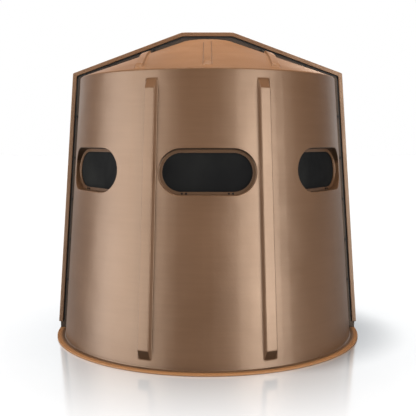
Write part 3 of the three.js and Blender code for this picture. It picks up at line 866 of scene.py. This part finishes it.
def half_shell(ribs, section, web, window_holes, doorway):
    """A half shell in its own frame, front towards -Y."""
    middle = DOOR_COLUMN if doorway else END_COLUMN
    right = columns_of(ribs, [middle, 55 - SIDE_COLUMN, 55 + SIDE_COLUMN])
    angles = [(-1, None)] + [(-1, a) for a in reversed(right)] + [(1, 0.0)]
    angles += [(1, a) for a in right] + [(1, None)]
    plain = [side * angle if angle is not None else side * 90 for side, angle in angles]
    heights = wall_rows()
    outer_rows = grid_rows(0, FLANGE_FACE + FLANGE_ROOT, angles, ribs)
    inner_rows = grid_rows(SKIN, HALF_GAP, angles, ribs)
    kinds = [kind for kind, _ in outer_rows]
    base = kinds.index("wall")

    def hole(levels, low, high):
        rows = [base + nearest(heights, z) for z in levels]
        return (*rows, nearest(plain, low), nearest(plain, high))

    shape = Shape()
    grids = [[shape.add(points) for _, points in rows] for rows in (outer_rows, inner_rows)]
    windows = [hole(WINDOW_ROWS, angle - half, angle + half) for angle, half in window_holes]
    doors = [hole(DOOR_ROWS, -DOOR_COLUMN, DOOR_COLUMN)] if doorway else []
    skin_faces(shape, grids, windows + doors)
    for (angle, _), box in zip(window_holes, windows):
        axes = placement(angle, WINDOW_HEIGHT, -WINDOW_DEPTH)
        window_pocket(shape, axes, *ends_at(grids, hole_loop(*box)))
    for box in doors:
        loop = hole_loop(*box)
        places = [(plain[j], heights[i - base]) for i, j in loop]
        door_edge(shape, places, DOOR_CLEARANCE, *ends_at(grids, loop))
    loop = seam_loop(kinds, len(plain) - 1)
    seam_flange(shape, kinds, loop, *ends_at(grids, loop), section, web)
    shape.band(grids[0][0], grids[1][0], closed=False)
    drop_unused(shape)
    return shape


def drop_unused(shape):
    """Removes the grid points that lie inside the holes."""
    used = sorted(set(index for face in shape.faces for index in face))
    place = {old: new for new, old in enumerate(used)}
    shape.points = [shape.points[old] for old in used]
    shape.faces = [tuple(place[k] for k in face) for face in shape.faces]


def button_bosses(shape, angles):
    """The posts on the ledges' inner side that carry the turn buttons."""
    for angle in angles:
        axes = placement(angle, WINDOW_HEIGHT, -WINDOW_DEPTH)
        barrel(shape, 5.5, -9.4, 1.5, 0.8, moved(axes, 0, BUTTON_V, 0))


def shells():
    sides = [(55, SIDE_COLUMN), (-55, SIDE_COLUMN)]
    windows = [(0, END_COLUMN), *sides]
    front = half_shell(FRONT_RIB, front_section(), FRONT_REACH, windows, False)
    button_bosses(front, (0, 55, -55))
    shown("front_shell_skin", front, "brown_shell", ["front_shell"])
    rear = half_shell(REAR_RIB, rear_section(), JOGGLE, sides, True)
    button_bosses(rear, (55, -55))
    shown("rear_shell_skin", rear, "brown_shell", ["rear_shell"], mirror=True)


def door_panel():
    """The door's skin with its window, in the rear half's own frame."""
    right = [2 * k for k in range(1, 10)] + [END_COLUMN, 19.4, 20, 20.35, 20.7, 21]
    angles = [-a for a in reversed(right)] + [0] + right
    heights = [59, 64, 70, 77, 85, *WINDOW_ROWS, 1590, 1600, 1612, 1624, 1636]
    heights = filled(heights, range(108, 1590, 24), 9)
    shape = Shape()
    grids = []
    for lift in (0, -SKIN):
        grids.append([shape.add([wall_point(a, z, lift) for a in angles]) for z in heights])
    rows = [heights.index(z) for z in WINDOW_ROWS]
    hole = (*rows, angles.index(-END_COLUMN), angles.index(END_COLUMN))
    skin_faces(shape, grids, [hole])
    axes = placement(0, WINDOW_HEIGHT, -WINDOW_DEPTH)
    window_pocket(shape, axes, *ends_at(grids, hole_loop(*hole)))
    border = hole_loop(0, len(heights) - 1, 0, len(angles) - 1)
    places = [(angles[j], heights[i]) for i, j in border]
    door_edge(shape, places, -DOOR_CLEARANCE, *ends_at(grids, border))
    drop_unused(shape)
    button_bosses(shape, [0])
    shown("door_panel_skin", shape, "brown_shell", ["door_panel"], mirror=True)


def door_places(spacing):
    """Places all round the door's outline, a little outside it."""
    half = DOOR["half_angle"] * DEGREE
    low, high = DOOR["bottom"], DOOR["top"]
    beyond = 30
    turns = 9
    places = []
    for side, end in ((1, high), (-1, high), (-1, low), (1, low)):
        radius = DOOR["high_fillet"] if end == high else DOOR["low_fillet"]
        up = 1 if end == high else -1
        middle = Vector((side * (half - radius), end - up * radius))
        arc = []
        for k in range(turns + 1):
            a = math.pi / 2 * k / turns
            arm = Vector((side * math.cos(a), up * math.sin(a))) * (radius + beyond)
            arc.append(middle + arm)
        places.append(arc if side * up > 0 else arc[::-1])
    points = []
    for k, arc in enumerate(places):
        points += arc
        start, end = arc[-1], places[(k + 1) % 4][0]
        steps = max(1, round((end - start).length / spacing))
        points += [start.lerp(end, step / steps) for step in range(1, steps)]
    return [(p.x / DEGREE, p.y) for p in points]


def door_frame():
    """The stepped ring behind the doorway, and the rivets that hold it to the shell."""
    shape = Shape()
    corners = [(24, -6.3), (24, -15), (-18, -15), (-18, -9), (3, -9), (3, -6.3)]
    section = rounded(corners, [1.2] * 6, 2)
    places = door_places(30)
    rows = [shape.add(door_ring(places, margin, lift)) for margin, lift in section]
    shape.bands(rows + rows[:1])
    for angle, z in door_places(150):
        middle, arm, radius = door_spoke(angle, z)
        p = middle + arm * (radius + 13)
        by_hinge = p.x > 0 and any(abs(p.y - h) < 60 for h in HINGE_HEIGHTS.values())
        on_arc = min(abs(arm.x), abs(arm.y)) > 0.01
        if not by_hinge and not on_arc:
            rivet(shape, 5, placement(p.x / DEGREE, p.y, 0))
    shown("door_frame_ring", shape, "black_plastic", ["door_frame"], mirror=True)


def rivet(shape, radius, axes):
    """A domed rivet with the dimple of its drawn stem."""
    profile = [(radius, -0.5), (radius, 0.4), (radius * 0.86, 1.2), (radius * 0.6, 1.8)]
    profile += [(radius * 0.3, 2.0), (radius * 0.24, 1.4), (radius * 0.05, 1.4)]
    turned(shape, profile, axes, 20)


def socket_screw(shape, radius, rise, axes):
    """A low round head with a hexagon socket."""
    profile = [(radius, -0.3), (radius, rise * 0.35), (radius * 0.9, rise * 0.75)]
    profile += [(radius * 0.62, rise), (radius * 0.5, rise)]
    turned(shape, profile, axes, 24)


def hinge_leaf(shape, side, height, knuckles, axes):
    """A butt hinge's leaf with its knuckles, screws and rounded corners."""
    leaf_start, leaf_width, thickness, half_length = 7, 45, 3, 40
    radius = wall_radius(height)
    turn = (leaf_start + leaf_width / 2) / radius
    seat = radius - (radius + HINGE_AXIS) * math.cos(turn) + 0.3
    tilt = axes @ Matrix.Rotation(side * turn, 4, "Y")
    ends = sorted((side * leaf_start, side * (leaf_start + leaf_width)))
    outline = rectangle((ends[0], -half_length), (ends[1], half_length), 7)
    plate(shape, outline, seat, seat + thickness, 0.6, tilt)
    for low, high in knuckles:
        ends = sorted((0, side * (leaf_start + 2)))
        bridge = rectangle((ends[0], low), (ends[1], high), 0.6, 1)
        plate(shape, bridge, seat, seat + thickness, 0.4, tilt)
        barrel(shape, 6, low, high, 0.8, axes @ ALONG_Y)
    for x, y in ((19, -27), (19, 27), (41, -27), (41, 0), (41, 27)):
        socket_screw(shape, 4.2, 2.0, moved(tilt, side * x, y, seat + thickness))


def door_hinges():
    half_knuckle, half_length, gap = 13, 40, 0.3
    for name, height in HINGE_HEIGHTS.items():
        axes = placement(180 - DOOR["half_angle"], height, HINGE_AXIS)
        leaf = Shape()
        hinge_leaf(leaf, 1, height, [(-half_knuckle, half_knuckle)], axes)
        shown(f"{name}_hinge_door_leaf", leaf, "zinc_steel", [f"door_hinge_{name}_door_leaf"])
        leaf = Shape()
        start = half_knuckle + gap
        hinge_leaf(leaf, -1, height, [(-half_length, -start), (start, half_length)], axes)
        barrel(leaf, 4.4, -half_length - 2, half_length + 2, 1, axes @ ALONG_Y)
        shown(f"{name}_hinge_frame_leaf", leaf, "zinc_steel", [f"door_hinge_{name}_frame_leaf"])


def door_latch():
    """Rosette, lever with hub and spindle, and the cam inside. Lever and cam are upright."""
    inset = math.degrees(LATCH["inset"] / wall_radius(LATCH["height"]))
    axes = placement(180 + DOOR["half_angle"] - inset, LATCH["height"], 0)
    half_lever, half_cam, half_width = 55, 34, 11
    cam_top = LATCH["cam_top"]
    cam_end = cam_top - LATCH["cam_thickness"]
    rosette = Shape()
    profile = [(9, 0.3), (22, 0.3), (22, 3.0), (21, 4.0), (18, 4.3), (17, 3.7), (16, 4.3), (9, 4.3)]
    turned(rosette, profile, axes, 48)
    shown("latch_rosette", rosette, "black_plastic", ["door_latch_rosette"])
    lever = Shape()
    hub = [(9, 4.6), (14, 4.6), (14, 11), (13, 13.5), (11.5, 16), (8, 17)]
    turned(lever, hub, axes, 32)
    down = moved(axes, 0, half_width - half_lever, 0) @ QUARTER_TURN
    plate(lever, stadium(half_lever, half_width), 14, 24, 3.2, down)
    barrel(lever, 8, cam_top + 0.3, 6, 0.5, axes)
    barrel(lever, 5, cam_end - 8, cam_top + 2, 0.6, axes)
    hex_head(lever, 15.5, cam_end - 0.3, cam_end - 6.3, axes)
    shown("latch_lever", lever, "black_steel", ["door_latch_handle"])
    cam = Shape()
    up = moved(axes, 0, half_cam - half_width, 0) @ QUARTER_TURN
    plate(cam, stadium(half_cam, half_width), cam_end, cam_top, 0.8, up)
    shown("latch_cam", cam, "zinc_steel", ["door_latch_cam"])


def window_cover(number, axes):
    """A flap: rounded plate with a sunk middle, a shallow hollow behind, and two hinge lugs."""
    shape = Shape()
    half_height = (COVER["top"] - COVER["bottom"]) / 2
    outline = stadium(COVER["half_width"], half_height, (COVER["top"] + COVER["bottom"]) / 2, 24)
    inner, outer = COVER["inner"], COVER["outer"]
    sections = [(40, inner + 1.2), (36, inner + 1.2), (33, inner), (20, inner)]
    sections += rounded_sides(inner, outer, 2)
    sunk = outer - 1.2
    sections += [(11, outer), (13, outer - 0.3), (15, outer - 1.0), (18, sunk), (40, sunk)]
    stacked(shape, outline, sections, axes)
    half, foot = FLAP_HINGE["half_knuckle"], FLAP_HINGE["v"]
    for side in (-1, 1):
        place = moved(axes, side * FLAP_HINGE["u"], 0, FLAP_HINGE["w"])
        plate(shape, rectangle((-half, foot), (half, -92), 2), -3.2, 1, 0.6, place)
        pin = moved(place, 0, foot, 0) @ ALONG_X
        barrel(shape, FLAP_HINGE["knuckle"], -half, half, 0.6, pin)
    shown(f"window_flap_{number}", shape, "black_plastic", [f"window_cover_{number}"])


def flap_bracket(name, node, axes):
    """A hinge bracket with its pin, and the two bolts that come through the ledge."""
    shape = Shape()
    hinge = FLAP_HINGE
    v, w, knuckle = hinge["v"], hinge["w"], hinge["knuckle"]
    half, leaf = hinge["half_knuckle"], hinge["half_leaf"]
    plate(shape, rectangle((-leaf, v - knuckle), (leaf, -117.5), 1.5), -3.3, -0.3, 0.4, axes)
    pin = moved(axes, 0, v, w) @ ALONG_X
    for side in (-1, 1):
        ends = sorted((side * (half + 0.3), side * leaf))
        ear = rectangle((ends[0], v - knuckle), (ends[1], v + knuckle), 1)
        plate(shape, ear, w, -1, 0.3, axes)
        barrel(shape, knuckle, *ends, 0.6, pin)
        bolt = moved(axes, side * half, FLAP_BOLT_V, 0)
        seat = LEDGE_THICKNESS
        barrel(shape, 6.2, seat + 0.1, seat + 1.1, 0.3, bolt)
        hex_head(shape, 9.5, seat + 1.0, seat + 4.2, bolt)
        barrel(shape, 2.8, -1, seat + 0.5, 0.2, bolt, 12)
    barrel(shape, 2.5, -leaf - 1, leaf + 1, 0.5, pin, 16)
    shown(name, shape, "black_steel", [node])


def turn_button(number, axes):
    """A turn button on its pivot screw, lying clear of the flap."""
    shape = Shape()
    place = moved(axes, 0, BUTTON_V, 0)
    beside = moved(place, 16, 0, 0)
    end = BUTTON_TOP - 4
    plate(shape, stadium(21, 5, steps=10), end, BUTTON_TOP, 1.1, beside)
    barrel(shape, 2.2, BUTTON_TOP - 3, -2, 0.2, place, 12)
    painted_underside_shade = moved(place, 0, 0, end) @ Matrix.Rotation(math.pi, 4, "X")
    socket_screw(shape, 3.8, 1.8, painted_underside_shade)
    shown(f"turn_button_{number}", shape, "black_plastic", [f"window_latch_{number}"])


def windows():
    for k, angle in enumerate(WINDOW_ANGLES):
        axes = placement(angle, WINDOW_HEIGHT, -WINDOW_DEPTH)
        window_cover(k + 1, axes)
        turn_button(k + 1, axes)
        for side, place in (("left", -FLAP_HINGE["u"]), ("right", FLAP_HINGE["u"])):
            node = f"window_hinge_{k + 1}_{side}"
            flap_bracket(f"flap_hinge_{k + 1}_{side}", node, moved(axes, place, 0, 0))


def seam_bolts():
    """Bolts along Y through both flanges: washer and head in front, washer and nut behind."""
    washer, head = (7.8, 9.3), 5.5
    for number in range(1, 16):
        node = f"seam_bolt_{number:02d}"
        low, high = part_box(node)
        centre = (low + high) / 2 / MM
        axes = Matrix.Translation(centre) @ ALONG_Y
        shape = Shape()
        barrel(shape, 4, -10.3, 16.5, 0.8, axes, 16)
        for side in (-1, 1):
            ends = sorted((side * washer[0], side * washer[1]))
            barrel(shape, 9, *ends, 0.4, axes, 32)
        for side in (-1, 1):
            hex_head(shape, 13, side * washer[1], side * (washer[1] + head), axes)
        shown(f"flange_bolt_{number:02d}", shape, "black_steel", [node])


def seam_line(foot):
    """Right half of the seam as seen from the front: points and outward directions."""
    steps = 30
    heights = [mix(foot, EAVE[0].y, k / steps) for k in range(steps)]
    line = [(Vector((wall_radius(z), z)), WALL_WAY) for z in heights]
    line += [(point.copy(), EAVE_WAY) for point in EAVE]
    for k in range(1, 2 * steps + 1):
        if k <= steps:
            x = mix(ROOF_START, CROWN[0], k / steps)
        else:
            x = CROWN[0] * (2 - k / steps)
        line.append((Vector((x, roof_height(x, 0))), roof_way(x)))
    return line


def seam_gasket():
    """A foam strip pressed between the two flanges."""
    right = seam_line(FLANGE_FOOT[1])
    left = [(Vector((-p.x, p.y)), Vector((-n.x, n.y))) for p, n in reversed(right[:-1])]
    half, low, high = HALF_GAP - 0.3, -5, JOGGLE - 0.6
    section = rounded([(low, -half), (high, -half), (high, half), (low, half)], [0.6] * 4, 2)
    shape = Shape()
    loops = []
    for p, n in right + left:
        loops.append([Vector((p.x + n.x * reach, y, p.y + n.y * reach)) for reach, y in section])
    shape.loft(loops)
    shown("seam_foam_strip", shape, "black_rubber", ["seam_gasket"])


shells()
seam_gasket()
seam_bolts()
door_panel()
door_frame()
door_hinges()
door_latch()
windows()

# ---- Camera, light and floor ----


def camera():
    data = bpy.data.cameras.new("camera")
    data.lens = 61.3
    data.sensor_width = 36
    view = bpy.data.objects.new("camera", data)
    view.location = (0.003, -4.855, 1.304)
    view.rotation_euler = (math.radians(90 - 5.40), 0, 0)
    bpy.context.scene.collection.objects.link(view)
    bpy.context.scene.camera = view


def aimed(name, kind, azimuth, distance, height, power, aim=1.0):
    """A light round the object, turned towards its axis."""
    data = bpy.data.lights.new(name, kind)
    data.energy = power
    light = bpy.data.objects.new(name, data)
    a = math.radians(azimuth)
    light.location = (distance * math.sin(a), -distance * math.cos(a), height)
    way = Vector((0, 0, aim)) - light.location
    light.rotation_euler = way.to_track_quat("-Z", "Y").to_euler()
    bpy.context.scene.collection.objects.link(light)
    return light


def softbox(name, azimuth, distance, height, size, power, spared, glossy=True):
    """A rectangular area light. It doesn't fall on what is spared."""
    light = aimed(name, "AREA", azimuth, distance, height, power)
    light.data.shape = "RECTANGLE"
    light.data.size, light.data.size_y = size
    light.visible_glossy = glossy
    light.light_linking.receiver_collection = spared
    light.light_linking.blocker_collection = spared
    return light


def surroundings():
    """A dim room, darker overhead and bright low down behind the object, where the floor mirrors
    it. The camera sees it as white."""
    world = bpy.data.worlds.new("studio")
    n = Nodes(world)
    _, back, up = n.split(n.way)
    glow = n.times(n.ramp(back, 0.55, 0.8, 0, 0.68), n.ramp(up, 0.32, 0.48, 1, 0))
    room = n.tree.nodes["Background"]
    n.wire(n.maths("ADD", n.ramp(up, 0.15, 0.5, 0.22, 0.05), glow), room.inputs["Strength"])
    seen = n.node("Background", {"Color": (1, 1, 1, 1)})
    n.wire((1, 1, 1, 1), room.inputs["Color"])
    n.wire(n.for_camera(room, seen).outputs[0], n.tree.nodes["World Output"].inputs[0])
    bpy.context.scene.world = world
    bpy.context.scene.view_settings.view_transform = "Standard"


FLOOR_GLOW = 0.05
FLOOR_SUN = 5.3


def floor():
    """A pale floor, polished round the object, bright enough to meet the white background. One
    light from the front left falls on it alone, for the soft shadow."""
    n = Nodes(bpy.data.materials.new("studio_floor"))
    colour = n.blend(n.noise(3), (0.60, 0.60, 0.60), (0.62, 0.62, 0.62))
    n.finish(colour, 0.6, n.bump(n.noise(200), 0.02, 0.0005), specular=0.1)
    n.wire((1, 1, 1, 1), n.shader.inputs["Emission Color"])
    n.wire(FLOOR_GLOW, n.shader.inputs["Emission Strength"])
    reach = n.node("VectorMath", {0: n.place}, operation="LENGTH")
    polish = n.node("BsdfGlossy", {"Roughness": 0.12, "Color": (0.94, 0.97, 1.0, 1)})
    layers = n.mixed(n.ramp(reach.outputs["Value"], 1.03, 1.85, 0.62, 0.05), n.shader, polish)
    dull = n.node("BsdfDiffuse", {"Color": (0.22, 0.22, 0.22, 1)})
    n.wire(n.for_camera(dull, layers).outputs[0], n.tree.nodes["Material Output"].inputs[0])
    below = (0, 0, -0.0005)
    bpy.ops.mesh.primitive_circle_add(vertices=64, radius=60, fill_type="NGON", location=below)
    plane = bpy.context.object
    plane.name = "studio_floor"
    plane.data.materials.append(n.owner)
    alone = bpy.data.collections.new("floor_only")
    alone.objects.link(plane)
    sun = aimed("floor_light", "SUN", -88, 0.8, 5.1, FLOOR_SUN)
    sun.data.angle = math.radians(12)
    sun.light_linking.receiver_collection = alone
    spared = bpy.data.collections.new("all_but_floor")
    spared.objects.link(plane)
    spared.collection_objects[0].light_linking.link_state = "EXCLUDE"
    return spared


camera()
surroundings()
spared = floor()
softbox("left_softbox", -61, 4.0, 1.0, (4.2, 4.2), 270, spared)
softbox("right_softbox", 39, 4.6, 1.0, (2.4, 4.2), 262, spared)
softbox("front_softbox", 0, 5.2, 2.4, (2.0, 2.0), 50, spared, glossy=False)
softbox("top_softbox", 0, 0.3, 4.2, (2.4, 2.4), 660, spared, glossy=False)
rear_softbox = softbox("rear_softbox", 162, 4.0, 1.0, (0.8, 4.0), 60, spared)
rear_softbox.data.color = (1.0, 0.74, 0.54)
